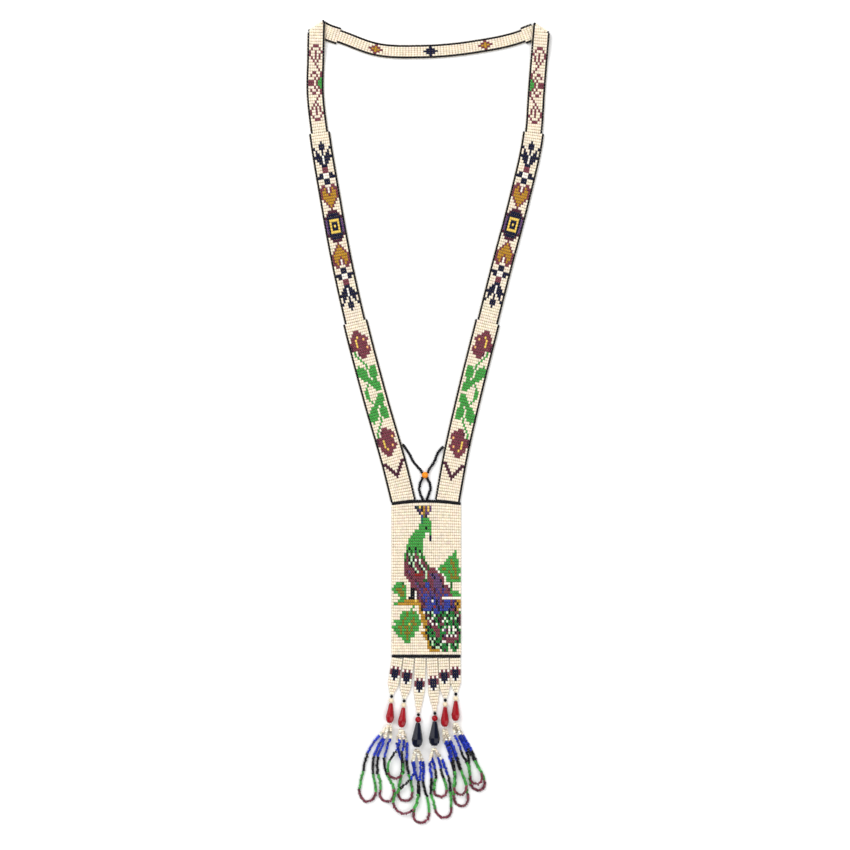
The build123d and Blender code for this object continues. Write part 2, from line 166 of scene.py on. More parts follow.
# the routes of the twelve fringe loops, out from the drop, round the tip and back
LOOPS = {
    "fringe_loop_1a": [
        (-27.9, -107.6, 2.5), (-28.5, -109.2, 2.5), (-33.4, -113.9, 1.3), (-39.6, -121.4, 1.0),
        (-44.6, -131.0, 1.0), (-46.6, -142.5, 1.0), (-49.0, -151.5, 1.0), (-49.4, -159.6, 1.0),
        (-47.0, -163.2, 1.0), (-43.3, -164.4, 1.0), (-39.6, -163.0, 1.0), (-37.3, -159.6, 1.0),
        (-37.6, -151.6, 1.0), (-40.0, -140.8, 1.0), (-38.8, -129.5, 1.0), (-33.6, -119.6, 1.0),
        (-29.0, -114.0, 1.4), (-26.2, -109.4, 2.5), (-26.5, -107.6, 2.5),
    ],
    "fringe_loop_1b": [
        (-27.9, -107.6, 4.6), (-28.5, -109.2, 4.6), (-30.0, -114.8, 3.6), (-32.4, -122.8, 2.4),
        (-36.0, -131.5, 1.0), (-36.6, -141.0, 1.0), (-34.2, -148.2, 1.0), (-33.6, -154.6, 1.0),
        (-34.6, -160.4, 1.0), (-32.7, -163.4, 1.0), (-29.2, -164.6, 1.0), (-25.8, -163.4, 1.0),
        (-23.8, -160.4, 1.0), (-24.0, -153.2, 1.0), (-28.8, -145.4, 1.0), (-31.6, -136.0, 1.0),
        (-29.6, -125.8, 1.2), (-26.2, -117.0, 3.2), (-26.3, -109.2, 4.6), (-26.5, -107.6, 4.6),
    ],
    "fringe_loop_2a": [
        (-19.1, -110.9, 2.5), (-19.6, -111.9, 2.5), (-21.6, -118.2, 1.3), (-20.6, -127.0, 1.0),
        (-17.6, -135.4, 1.0), (-18.0, -144.6, 1.0), (-20.2, -152.6, 1.0), (-20.8, -160.1, 1.0),
        (-18.7, -163.0, 1.0), (-15.3, -164.2, 1.0), (-11.9, -163.1, 1.0), (-9.9, -160.0, 1.0),
        (-10.6, -152.0, 1.0), (-13.4, -142.4, 1.0), (-14.7, -132.2, 1.0), (-13.6, -122.8, 1.0),
        (-15.4, -116.9, 1.4), (-17.4, -111.9, 2.5), (-17.7, -110.9, 2.5),
    ],
    "fringe_loop_2b": [
        (-19.1, -110.9, 4.6), (-19.6, -111.9, 4.6), (-19.4, -117.8, 3.6), (-21.4, -126.0, 3.2),
        (-26.6, -132.6, 3.2), (-29.0, -140.0, 3.2), (-26.6, -146.0, 3.2), (-21.2, -147.8, 3.2),
        (-17.0, -144.0, 3.2), (-16.8, -137.2, 3.2), (-18.0, -130.0, 3.2), (-16.4, -122.2, 3.4),
        (-17.0, -116.4, 4.2), (-17.4, -111.9, 4.6), (-17.7, -110.9, 4.6),
    ],
    "fringe_loop_3a": [
        (-7.6, -125.4, 4.0), (-8.2, -126.4, 4.0), (-10.4, -132.2, 2.2), (-9.2, -140.4, 1.0),
        (-5.8, -149.6, 1.0), (-4.8, -159.8, 1.0), (-8.4, -168.2, 1.0), (-9.9, -175.9, 1.0),
        (-7.8, -179.2, 1.0), (-4.0, -180.5, 1.0), (-0.2, -179.3, 1.0), (2.0, -176.0, 1.0),
        (2.4, -168.0, 1.0), (-0.4, -158.6, 1.0), (-2.4, -148.6, 1.0), (-1.6, -139.4, 1.0),
        (-3.4, -131.8, 2.0), (-5.9, -126.4, 4.0), (-6.2, -125.4, 4.0),
    ],
    "fringe_loop_3b": [
        (-7.6, -125.4, 6.1), (-8.2, -126.4, 6.1), (-9.4, -131.8, 5.2), (-8.0, -139.6, 3.4),
        (-11.0, -147.8, 3.2), (-17.6, -153.0, 3.2), (-23.4, -159.0, 3.2), (-25.0, -166.0, 3.2),
        (-21.0, -172.0, 3.2), (-14.4, -173.4, 3.2), (-8.6, -170.0, 3.2), (-5.8, -162.4, 3.2),
        (-6.4, -153.4, 3.2), (-4.2, -144.4, 3.2), (-4.0, -136.8, 3.6), (-5.6, -131.2, 5.2),
        (-5.9, -126.4, 6.1), (-6.2, -125.4, 6.1),
    ],
    "fringe_loop_4a": [
        (5.2, -124.4, 4.0), (4.8, -125.4, 4.0), (4.0, -131.0, 2.0), (6.2, -138.2, 1.0),
        (7.6, -145.8, 1.0), (5.8, -151.8, 1.0), (5.6, -157.4, 1.0), (7.3, -160.2, 1.0),
        (10.4, -161.2, 1.0), (13.5, -160.0, 1.0), (15.2, -157.4, 1.0), (14.4, -151.2, 1.0),
        (11.6, -144.0, 1.0), (10.4, -136.8, 1.0), (8.8, -130.6, 2.2), (7.1, -125.4, 4.0),
        (6.6, -124.4, 4.0),
    ],
    "fringe_loop_4b": [
        (5.2, -124.4, 6.1), (4.8, -125.4, 6.1), (2.8, -131.0, 4.6), (2.6, -139.0, 1.6),
        (4.2, -148.0, 1.0), (2.8, -157.0, 1.0), (5.4, -165.0, 1.0), (7.0, -172.1, 1.0),
        (9.2, -175.4, 1.0), (13.0, -176.7, 1.0), (16.8, -175.3, 1.0), (18.8, -172.2, 1.0),
        (18.4, -164.4, 1.0), (17.7, -155.2, 1.0), (16.9, -146.8, 1.0), (14.0, -140.2, 1.0),
        (12.8, -134.6, 2.4), (9.6, -130.2, 4.8), (7.1, -125.4, 6.1), (6.6, -124.4, 6.1),
    ],
    "fringe_loop_5a": [
        (12.9, -110.5, 2.5), (12.5, -111.4, 2.5), (13.2, -117.6, 1.3), (16.4, -125.8, 1.0),
        (18.2, -134.2, 1.0), (21.0, -142.4, 1.0), (21.4, -150.4, 1.0), (20.4, -157.2, 1.0),
        (20.6, -164.0, 1.0), (22.6, -167.1, 1.0), (26.0, -168.3, 1.0), (29.2, -167.0, 1.0),
        (31.2, -163.8, 1.0), (30.6, -156.8, 1.0), (28.8, -149.4, 1.0), (25.6, -141.6, 1.0),
        (22.2, -133.2, 1.0), (19.8, -125.4, 1.0), (16.9, -118.2, 1.3), (14.7, -111.4, 2.5),
        (14.3, -110.5, 2.5),
    ],
    "fringe_loop_5b": [
        (12.9, -110.5, 4.6), (12.5, -111.4, 4.6), (14.6, -118.0, 3.6), (18.0, -126.0, 3.2),
        (19.6, -134.2, 3.2), (21.4, -142.0, 3.2), (20.6, -149.4, 3.2), (20.4, -155.6, 3.2),
        (22.1, -158.3, 3.2), (25.2, -159.4, 3.2), (28.2, -158.2, 3.2), (29.8, -155.4, 3.2),
        (29.2, -149.6, 3.2), (26.4, -142.6, 3.2), (23.6, -134.2, 3.2), (21.0, -125.8, 3.2),
        (16.9, -117.8, 3.8), (14.7, -111.4, 4.6), (14.3, -110.5, 4.6),
    ],
    "fringe_loop_6a": [
        (20.9, -106.1, 2.5), (20.5, -107.2, 2.5), (22.4, -113.4, 1.3), (27.0, -121.0, 1.0),
        (30.6, -129.0, 1.0), (32.0, -137.6, 1.0), (32.2, -145.6, 1.0), (33.0, -152.2, 1.0),
        (35.0, -155.5, 1.0), (38.5, -156.7, 1.0), (41.9, -155.4, 1.0), (43.9, -152.2, 1.0),
        (42.2, -145.4, 1.0), (38.2, -138.4, 1.0), (34.9, -129.8, 1.0), (30.6, -121.0, 1.0),
        (25.8, -113.8, 1.3), (22.7, -107.2, 2.5), (22.3, -106.1, 2.5),
    ],
    "fringe_loop_6b": [
        (20.9, -106.1, 4.6), (20.5, -107.2, 4.6), (20.6, -113.6, 3.8), (24.0, -121.6, 3.2),
        (26.8, -129.6, 3.2), (30.6, -136.2, 3.2), (32.4, -142.2, 3.2), (32.4, -147.6, 3.2),
        (34.0, -150.2, 3.2), (37.0, -151.3, 3.2), (40.0, -150.2, 3.2), (41.6, -147.6, 3.2),
        (40.6, -141.8, 3.2), (36.4, -135.2, 3.2), (32.4, -128.0, 3.2), (28.2, -120.4, 3.2),
        (24.6, -113.4, 3.8), (22.7, -107.2, 4.6), (22.3, -106.1, 4.6),
    ],
}
# each link strand and its bowed strand are one string, which runs through the orange bead
LINKS = {
    "left": [
        (-17.4, 99.8, 0.95), (-13.3, 94.6, 0.95), (-9.6, 86.2, 0.95), (-3.0, 79.9, 1.6),
        (-2.6, 74.2, 1.6), (-5.3, 69.6, 0.95), (-5.0, 63.6, 0.95), (-2.4, 58.8, 0.95),
    ],
    "right": [
        (12.9, 98.0, 0.95), (8.8, 94.9, 0.95), (6.2, 86.4, 0.95), (0.9, 79.9, 1.6),
        (0.5, 74.2, 1.6), (3.5, 69.6, 0.95), (2.5, 63.7, 0.95), (0.3, 58.8, 0.95),
    ],
}
LINK_BEAD_AT = np.array([-0.9, 77.0, 2.45])
# beads nearer than this to the orange bead's middle are inside it, and thread-thin
LINK_BEAD_REACH = 2.7
HOLE_SHARE = 0.4

# colours of the glass, as they look on a screen
PALETTE = {
    ".": (0.955, 0.91, 0.83), "W": (0.98, 0.96, 0.92), "K": (0.03, 0.035, 0.075),
    "N": (0.07, 0.08, 0.21), "S": (0.20, 0.30, 0.30), "R": (0.48, 0.23, 0.29),
    "r": (0.55, 0.15, 0.13), "D": (0.30, 0.12, 0.21), "V": (0.40, 0.28, 0.46),
    "B": (0.20, 0.26, 0.62), "b": (0.13, 0.22, 0.72), "v": (0.24, 0.20, 0.50),
    "G": (0.27, 0.63, 0.28), "g": (0.11, 0.36, 0.13), "T": (0.12, 0.46, 0.33),
    "t": (0.13, 0.49, 0.22), "L": (0.76, 0.90, 0.74), "O": (0.72, 0.54, 0.17),
    "o": (0.53, 0.47, 0.15), "Y": (0.93, 0.80, 0.38), "P": (0.96, 0.74, 0.47),
}

# The peacock on its branch, a woven row to a line: row number, then start column and beads.
PEACOCK = """
1 11 NSYNOVYV
2 12 NVNOVYV
3 13 NPoVV
4 14 BoN
5 14 TGGG
6 14 TGGGG
7 13 GGGGGG
8 13 GGGKGG
9 11 GGGGGGGG
10 10 GGGGGGWWG
11 9 GGGGGGG 18 N
12 8 GGGGGGG 18 N
13 8 GGGGGGG
14 7 GGGGGGGG
15 7 GKGGKGGG
16 7 gGgGSGKG 30 G
17 6 GDLgLRGLg 29 GG
18 6 GRgLgRRGgG 27 GGGG
19 6 gRKLKWDWRg 26 GGoGGG
20 6 RRLKLRDLRRg 25 GGGooGG
21 6 RRDKLRRKLDRg 23 GGGGGGoGG
22 6 RRRRDLRRKLRgRRRW 22 GGooGGGooGG
23 6 RDVRRKLRrDLRRRRRW 23 GGGGoGGoGG
24 6 RRDRRrrrrRLrVNVVRRW 25 GGGoGoG
25 7 RRDRRRRRRLRRVNVVRRWGGooooG
26 8 RRRDRRRggRRRVVVNR 26 GGGGGGG
27 2 GGGg 8 WRRVSRRRBBRRVVVVR.W 28 g
28 1 GGGGoG 9 RRRVDRDBBDRVVVVKRRW 28 g
29 0 GGoooGG 9 KKDRVvRrvVRDvVRvVRDG
30 1 GGoooG 9 KKWDRvRVRvVDVvRvRRRGGGG
31 3 GooG 8 WKKWDVRBBVvVvRVvRBBRRGGGG
32 4 GGG 8 KKKWDRvBVBvNBVvRWWWWWWWWW
33 3 GGGOOOOOYORDvRBvWBNvRDBBBRvDOO
34 1 GGOOOOOOOOOOORDBBvBBNvRVvBBRvOKO
35 10 G 13 ODRVBBvrvNBDBBBNvDOO
36 9 G 13 OKBBBBNBBNBvBBNVRKO
37 5 GGoGGoG 13 OO 16 KLKLBBBtKtLKtgRRt
38 4 GGGoGGGGG 14 OODDKtWKtKttKtttKLR
39 4 GGoGGGoGG 14 OOKLDWttDDKWtKLgLKD
40 1 GGGGoGGGooGGG 14 OOORWDKtKDWtLttDtKD
41 2 GGGoGGYGooGG 15 OORDWDWtRRtKttKttD
42 0 GGGooGooGoGGG 15 OKtKRRRtKtLtWtWKtW
43 1 GGGoGGoGoGGG 16 OKttRRRtWVDWKWWKt
44 2 GGoGoooGG 14 OOKttKtRRtttRLtLKRK
45 3 GGGGoGGG 15 OOKtttRRtKVWKWDWRt
46 5 GGoG 16 OKLKLKttRDRRRRRRt
47 6 GGG 17 OKLKttKWWRRRRtKt
48 17 OgLtKKLttKLtKLt
49 17 OOKKLLKttt 28 ttKt
50 18 OOOOO 24 tDt 29 tt
"""
# half of the lower strap's motif, from the outer fold: a rose, its stem and its leaves
ROSE = """
3 4 RRR
4 3 RRRRR
5 2 RRRYRRRR
6 2 RRYRRRPRR
7 1 RRRYRRRRR
8 1 DRRYRRRRR
9 1 DRRRRRRRPR
10 2 G 4 RRRRRRR
11 2 G 4 DRRRRR
12 3 G 5 RRR
13 4 G
14 5 G
15 2 G 6 G
16 1 GGGG 6 G 8 GGG
17 1 GGGGG 7 GGGG
18 1 GGGGG 7 GGGG
19 2 GGGG 7 GGGG
20 3 GGGG 8 GG
21 5 GGGGG
22 4 G 6 GGGGG
23 3 G 7 GGGG
24 2 GG 8 GGG
25 2 GG
"""
ROSE_MIRROR = 50
CHEVRON = """
50 1 DD 10 DD
51 2 DD 9 DD
52 3 DD 8 DD
53 4 DD 7 DD
54 5 DDD
55 6 D
"""
# half of the middle strap's motif: a lotus, a square, a heart, and half of the round cartouche
LOTUS = """
3 5 N
4 4 NNN
5 1 N 4 NNN 9 N
6 2 N 5 N 8 N
7 2 NN 5 N 7 NN
8 1 NNNN 5 W 6 NNNN
9 2 NNN 5 W 6 NNN
10 3 NN 5 W 6 NN
11 4 NNN
12 4 RRR
13 4 RRR
14 2 NN 4 WWW 7 NN
15 1 NNN 4 WWW 7 NNN
16 4 NNN
17 4 NNN
18 2 RR 7 RR
19 1 RROR 5 W 6 RORR
20 1 ROOR 5 W 6 ROOR
21 1 ROOOROOOR
22 1 ROOOOOOOR
23 2 ROOOOOR
24 3 ROOOR
25 4 ROR
26 5 R
27 3 DDDDD
28 2 DNNNNND
29 1 DNNNNNNND
30 1 VNYYYYYNV
31 1 VNYNNNYNV
32 1 VNYNYNYNV
"""
LOTUS_MIRROR = 64
# half of the upper strap's scrolls; the green half flower stands at the inner edge
SCROLL = """
5 3 RRR
6 2 R 6 R
7 1 R 4 R 7 R
8 1 R 4 R 6 R
9 2 R 4 R 6 R
10 3 R 5 R
11 4 R
12 5 R
13 6 R
14 3 RR 7 R
15 2 R 5 R 7 R
16 4 R 6 RG
17 1 RRR 5 RGG
"""
SCROLL_MIRROR = 35
SCROLL_SHIFT = 5
TAB_MOTIF = ["WRWRW", "RNNNR", "RNNNR", "WNNNW", ".WNW."]
DIAMOND = ["...R...", "..ROR..", ".ROOOR.", "..ROR..", "...R..."]
STAR = ["...N...", "..NNN..", ".NNNNN.", "..NNN..", "...N..."]
NECK_MOTIFS = [(-37.5, DIAMOND), (2.4, STAR), (43.0, DIAMOND)]
# the fringe's colours along half a loop: where each ends, as a share of the half
FRINGE_BANDS = [(0.17, "."), (0.41, "b"), (0.61, "K"), (0.82, "G"), (1.01, "R")]


# --- materials -------------------------------------------------------------------------

def linear(colour):
    return tuple(c / 12.92 if c <= 0.04045 else ((c + 0.055) / 1.055) ** 2.4 for c in colour)


def new_material(name):
    material = bpy.data.materials.new(name)
    material.use_nodes = True
    return material, material.node_tree.nodes["Principled BSDF"]


def mix_into(material, shader, factor, low, high):
    """Colours the shader between low and high, as factor goes from 0 to 1."""
    links = material.node_tree.links
    mix = material.node_tree.nodes.new("ShaderNodeMix")
    mix.data_type = "RGBA"
    mix.inputs["A"].default_value = (*linear(low), 1)
    mix.inputs["B"].default_value = (*linear(high), 1)
    links.new(factor, mix.inputs["Factor"])
    links.new(mix.outputs["Result"], shader.inputs["Base Color"])


def add_grain(material, shader, scale, distance, low, high):
    """A fine unevenness of the surface, and a roughness that wanders between low and high."""
    nodes, links = material.node_tree.nodes, material.node_tree.links
    place = nodes.new("ShaderNodeTexCoord")
    noise = nodes.new("ShaderNodeTexNoise")
    noise.inputs["Scale"].default_value = scale
    noise.inputs["Detail"].default_value = 3
    links.new(place.outputs["Object"], noise.inputs["Vector"])
    bump = nodes.new("ShaderNodeBump")
    bump.inputs["Strength"].default_value = 0.35
    bump.inputs["Distance"].default_value = distance
    links.new(noise.outputs["Fac"], bump.inputs["Height"])
    links.new(bump.outputs["Normal"], shader.inputs["Normal"])
    spread = nodes.new("ShaderNodeMapRange")
    spread.inputs["To Min"].default_value = low
    spread.inputs["To Max"].default_value = high
    links.new(noise.outputs["Fac"], spread.inputs["Value"])
    links.new(spread.outputs["Result"], shader.inputs["Roughness"])
    return noise


def bead_glass():
    """Opaque seed-bead glass; each bead's own colour comes with its mesh."""
    material, shader = new_material("seed_bead_glass")
    nodes, links = material.node_tree.nodes, material.node_tree.links
    own = nodes.new("ShaderNodeAttribute")
    own.attribute_name = "bead_colour"
    noise = add_grain(material, shader, scale=900, distance=0.00005, low=0.16, high=0.30)
    tint = nodes.new("ShaderNodeMix")
    tint.data_type = "RGBA"
    tint.blend_type = "MULTIPLY"
    tint.inputs["B"].default_value = (0.86, 0.84, 0.82, 1)
    links.new(noise.outputs["Fac"], tint.inputs["Factor"])
    links.new(own.outputs["Color"], tint.inputs["A"])
    links.new(tint.outputs["Result"], shader.inputs["Base Color"])
    shader.inputs["Specular IOR Level"].default_value = 0.12
    shader.inputs["Coat Weight"].default_value = 0.05
    shader.inputs["Coat Roughness"].default_value = 0.08
    return material


def clear_glass(name, colour, deep, transmission, roughness):
    """Coloured glass, deeper in tone in swirls, as a moulded drop is."""
    material, shader = new_material(name)
    rougher = roughness + 0.07
    noise = add_grain(material, shader, scale=160, distance=0.00008, low=roughness, high=rougher)
    mix_into(material, shader, noise.outputs["Fac"], colour, deep)
    shader.inputs["Transmission Weight"].default_value = transmission
    shader.inputs["IOR"].default_value = 1.52
    shader.inputs["Specular IOR Level"].default_value = 0.13
    return material


def cotton(name, colour, shade):
    """Twisted thread: fine slanting plies; the darker bands are painted shade in the grooves
    between them.
    """
    material, shader = new_material(name)
    nodes, links = material.node_tree.nodes, material.node_tree.links
    place = nodes.new("ShaderNodeTexCoord")
    ply = nodes.new("ShaderNodeTexWave")
    ply.inputs["Scale"].default_value = 900
    ply.inputs["Distortion"].default_value = 1.5
    ply.bands_direction = "DIAGONAL"
    links.new(place.outputs["Object"], ply.inputs["Vector"])
    mix_into(material, shader, ply.outputs["Fac"], shade, colour)
    shader.inputs["Roughness"].default_value = 0.8
    shader.inputs["Sheen Weight"].default_value = 0.3
    return material


SEED = bead_glass()
# the second colour is painted shade for the grooves between the plies
THREAD = cotton("thread_cotton", (0.90, 0.86, 0.77), (0.74, 0.68, 0.57))
CREAM = clear_glass(
    "cream_bead_glass", (0.96, 0.91, 0.80), (0.90, 0.82, 0.68), transmission=0.1, roughness=0.12
)
RED = clear_glass(
    "red_drop_glass", (0.73, 0.05, 0.13), (0.48, 0.02, 0.06), transmission=0.15, roughness=0.14
)
DARK = clear_glass(
    "dark_drop_glass", (0.05, 0.08, 0.18), (0.01, 0.02, 0.07), transmission=0.05, roughness=0.14
)
BLACK = clear_glass(
    "black_bead_glass", (0.06, 0.06, 0.09), (0.02, 0.02, 0.03), transmission=0.0, roughness=0.10
)
ORANGE = clear_glass(
    "orange_bead_glass", (0.97, 0.62, 0.14), (0.88, 0.45, 0.05), transmission=0.0, roughness=0.10
)


# --- bead and thread meshes ------------------------------------------------------------

def unit(vectors):
    return vectors / np.linalg.norm(vectors, axis=1)[:, None]


def lengths_along(points):
    """The distance from the first point to each point, along the line through them."""
    return np.r_[0, np.cumsum(np.linalg.norm(np.diff(points, axis=0), axis=1))]


def read_at(where, distance, values):
    """The values, given at each distance, read at the distances where."""
    return np.stack([np.interp(where, distance, column) for column in values.T], axis=1)


def finish_mesh(name, points, faces, materials):
    mesh = bpy.data.meshes.new(name)
    mesh.from_pydata(np.asarray(points) * MM, [], faces.tolist())
    mesh.polygons.foreach_set("use_smooth", np.ones(len(faces), bool))
    for material in materials:
        mesh.materials.append(material)
    made = bpy.data.objects.new(name, mesh)
    bpy.context.scene.collection.objects.link(made)
    return made


def bead_mesh(
    name, centres, axes, ups, colours, length, radius, girth=1.0, tone_and_glint_spread=SHADE_SPREAD
):
    """One mesh of many drilled beads. Each has a centre, an axis, an up direction and a colour."""
    count = len(centres)
    rings = len(BEAD_PROFILE)
    along = np.array([a for a, _ in BEAD_PROFILE]) * length / 2
    turn = np.arange(SIDES) * 2 * pi / SIDES
    squared = 1 + SQUARENESS * np.sin(2 * turn) ** 2
    reach = np.outer([r for _, r in BEAD_PROFILE], squared) * radius
    axes = unit(axes)
    ups = unit(ups - axes * np.sum(ups * axes, axis=1)[:, None])
    sides = np.cross(axes, ups)
    size = (girth * rng.normal(1, SIZE_SPREAD, count).clip(*SIZE_LIMITS))[:, None, None, None]
    ring_dir = (
        ups[:, None, None] * np.cos(turn)[None, None, :, None]
        + sides[:, None, None] * np.sin(turn)[None, None, :, None]
    )
    points = (
        centres[:, None, None]
        + axes[:, None, None] * along[None, :, None, None]
        + ring_dir * reach[None, :, :, None] * size
    )
    ring = np.arange(rings)
    side = np.arange(SIDES)
    here = ring[:, None] * SIDES + side
    corners = np.stack(
        [
            here,
            here[:, (side + 1) % SIDES],
            here[(ring + 1) % rings][:, (side + 1) % SIDES],
            here[(ring + 1) % rings],
        ],
        axis=2,
    ).reshape(-1, 4)
    per_bead = rings * SIDES
    faces = (np.arange(count)[:, None, None] * per_bead + corners[None]).reshape(-1, 4)
    made = finish_mesh(name, points.reshape(-1, 3), faces, [SEED])
    mesh = made.data

    shown = np.array([linear(PALETTE[c]) for c in colours])
    # each bead is made lighter or darker at random: random tone, and on loose strings also painted
    # glints
    shown = shown * rng.normal(1, tone_and_glint_spread, (count, 1))
    shown = shown * rng.normal(1, TINT_SPREAD, (count, 3))
    rgba = np.ones((count, per_bead, 4), np.float32)
    rgba[:, :, :3] = shown.clip(0, 1)[:, None]
    own = mesh.color_attributes.new("bead_colour", "FLOAT_COLOR", "POINT")
    own.data.foreach_set("color", rgba.ravel())

    cells = ceil(sqrt(count))
    u = np.stack([ring, ring, ring + 1, ring + 1], axis=1) / rings
    v = np.stack([side, side + 1, side + 1, side], axis=1) / SIDES
    local = np.zeros((rings, SIDES, 4, 2))
    local[..., 0] = UV_MARGIN + UV_FILL * u[:, None]
    local[..., 1] = UV_MARGIN + UV_FILL * v[None]
    index = np.arange(count)
    cell = np.stack([index % cells, index // cells], axis=1)
    uv = (cell[:, None, None] + local.reshape(1, -1, 4, 2)) / cells
    mesh.uv_layers.new(name="OFBake").data.foreach_set("uv", uv.astype(np.float32).ravel())
    return made


def thread_mesh(name, runs, radius):
    """Thin threads, each along its own row of points, as one mesh of closed square tubes."""
    points, faces, first = [], [], 0
    for run in runs:
        way = unit(np.gradient(run, axis=0))
        across = unit(np.cross(way, UP))
        up = np.cross(across, way)
        for n, (at, a, b) in enumerate(zip(run, across, up)):
            points += [at + a * radius, at + b * radius, at - a * radius, at - b * radius]
            if n:
                low = first + 4 * (n - 1)
                for k in range(4):
                    turn = (k + 1) % 4
                    faces.append([low + k, low + turn, low + 4 + turn, low + 4 + k])
        last = first + 4 * (len(run) - 1)
        faces += [[first + 3, first + 2, first + 1, first], [last, last + 1, last + 2, last + 3]]
        first = last + 4
    return finish_mesh(name, points, np.array(faces), [THREAD])


def arched(points):
    """Moves points near the panel's top edge to follow its gentle arch."""
    moved = points.copy()
    away = np.abs(points[..., 1] - BORDER_Y)
    rise = ARCH * (ARCH_RAISED_SHARE - (points[..., 0] / PANEL_HALF_W) ** 2)
    moved[..., 1] += rise * np.exp(-away / ARCH_FADE)
    return moved


def weave(name, centres, letters, pitch):
    """Beads and warp threads of one woven piece, in rows by columns. A blank has no bead."""
    columns = letters.shape[1]
    centres = arched(centres)
    axes = np.gradient(centres, axis=1)
    along = np.gradient(centres, axis=0)
    ups = np.cross(axes, along)
    ups[ups[..., 2] < 0] *= -1
    kept = letters != " "
    jitter = rng.normal(0, WEAVE_JITTER, centres.shape)
    beads = bead_mesh(
        f"{name}_beads",
        (centres + jitter)[kept],
        axes[kept],
        ups[kept],
        letters[kept],
        pitch * BEAD_FILL,
        BEAD_R,
    )
    runs = []
    for edge in range(columns + 1):
        left, right = max(edge - 1, 0), min(edge, columns - 1)
        shift = (edge - 0.5 - (left + right) / 2) * axes[:, left]
        run = (centres[:, left] + centres[:, right]) / 2 + shift
        rows_here = np.flatnonzero(kept[:, left] | kept[:, right])
        for part in np.split(rows_here, np.flatnonzero(np.diff(rows_here) > 1) + 1):
            if len(part) > 1:
                runs.append(run[part])
    threads = thread_mesh(f"{name}_warps", runs, WARP_R)
    return [beads, threads]


def bead_row(name, centres, letters, pitch, radius):
    """One row of beads on its own."""
    axes = np.gradient(centres, axis=0)
    ups = np.tile(UP, (len(centres), 1))
    beads = bead_mesh(name, centres, axes, ups, letters, pitch * BEAD_FILL, radius)
    return beads


def chart(text, rows, columns, mirror=None):
    """A motif's letters. Its rows are repeated upside down where row numbers add up to mirror."""
    letters = np.full((rows, columns), ".")
    for line in text.strip().split("\n"):
        row, *rest = line.split()
        targets = {int(row), mirror - int(row)} if mirror else {int(row)}
        for start, beads in zip(map(int, rest[::2]), rest[1::2]):
            for target in targets:
                if 0 <= target < rows:
                    letters[target, start:start + len(beads)] = list(beads)
    return letters


def ride_all(pieces, body, *nodes):
    for piece in pieces:
        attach(piece, body)
    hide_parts(*nodes)


def blend_all(pieces, low, high, at, *nodes):
    for piece in pieces:
        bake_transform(piece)
    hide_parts(*nodes)


# --- smooth lines ----------------------------------------------------------------------

def smooth(points, step=0.25):
    """A smooth curve through points, and the distance along it."""
    given = np.array(points, float)
    knots = lengths_along(given)
    slopes = np.gradient(given, knots, axis=0)
    ask = np.arange(0, knots[-1], step)
    left = np.clip(np.searchsorted(knots, ask, side="right") - 1, 0, len(knots) - 2)
    gap = (knots[left + 1] - knots[left])[:, None]
    t = ((ask - knots[left])[:, None]) / gap
    curve = (
        (2 * t**3 - 3 * t**2 + 1) * given[left]
        + (t**3 - 2 * t**2 + t) * gap * slopes[left]
        + (3 * t**2 - 2 * t**3) * given[left + 1]
        + (t**3 - t**2) * gap * slopes[left + 1]
    )
    return curve, lengths_along(curve)


def along_line(curve, distance, where):
    """Points at the distances where, and the unit directions there."""
    way = np.gradient(curve, distance, axis=0)
    return read_at(where, distance, curve), unit(read_at(where, distance, way))


def grid_on(at, across, columns, pitch, height):
    """Bead centres, rows by columns, on rows that run along across at each point."""
    offset = (np.arange(columns) - (columns - 1) / 2) * pitch
    flat = at[:, None] + across[:, None] * offset[None, :, None]
    return np.dstack([flat, height(flat)])


def level(flat):
    return np.full(flat.shape[:2], MID)


def climbing(flat):
    """The height of an upper strap, which climbs onto the end of the neck band."""
    t = np.clip((flat[..., 1] - CLIMB_FROM_Y) / (CLIMB_TO_Y - CLIMB_FROM_Y), 0, 1)
    return MID + FOLDED_LIFT * t * t * (3 - 2 * t)


# --- the woven pieces ------------------------------------------------------------------

def make_panel():
    rows = PANEL_TOP - (np.arange(PANEL_ROWS) + 0.5) * ROW_PITCH
    at = np.stack([np.zeros(PANEL_ROWS), rows], axis=1)
    across = np.tile((1.0, 0.0), (PANEL_ROWS, 1))
    centres = grid_on(at, across, PANEL_COLUMNS, PANEL_COLUMN, level)
    letters = chart(PEACOCK, PANEL_ROWS, PANEL_COLUMNS)
    pieces = weave("peacock_panel", centres, letters, PANEL_COLUMN)
    ride_all(pieces, "panel", "peacock_panel")
    black = np.full(PANEL_COLUMNS, "K")
    for name, y in (("panel_top_row", BORDER_Y), ("panel_bottom_row", -BORDER_Y)):
        flat_row = grid_on(np.array([(0, y)]), across[:1], PANEL_COLUMNS, PANEL_COLUMN, level)
        row = arched(flat_row)[0]
        beads = bead_row(f"{name}_beads", row, black, PANEL_COLUMN, BEAD_R)
        ride_all([beads], "panel", name)


def strap_rows(curve, distance, y_from, y_to):
    """Row places from y_to down to y_from, and the direction of each row."""
    start, end = np.interp([y_from, y_to], curve[:, 1], distance)
    count = round((end - start) / ROW_PITCH)
    where = end - (np.arange(count) + 0.5) * (end - start) / count
    at, way = along_line(curve, distance, where)
    across = np.stack([way[:, 1], -way[:, 0]], axis=1)
    fan = np.clip((where - distance[0]) / (FAN_ROWS * ROW_PITCH), 0, 1)[:, None]
    across = across * fan + np.array((1.0, 0.0)) * (1 - fan)
    return at, unit(across)


def beyond(flat, corner):
    """True for beads past the slanting fold at a strap's top."""
    (x0, y0), (x1, y1) = corner
    return (flat[..., 1] - y0) - (y1 - y0) / (x1 - x0) * (flat[..., 0] - x0) > FOLD_CUT


def at_fold(curve, y):
    """The point of a strap's middle line at height y."""
    return np.interp(y, curve[:, 1], curve[:, 0]), y


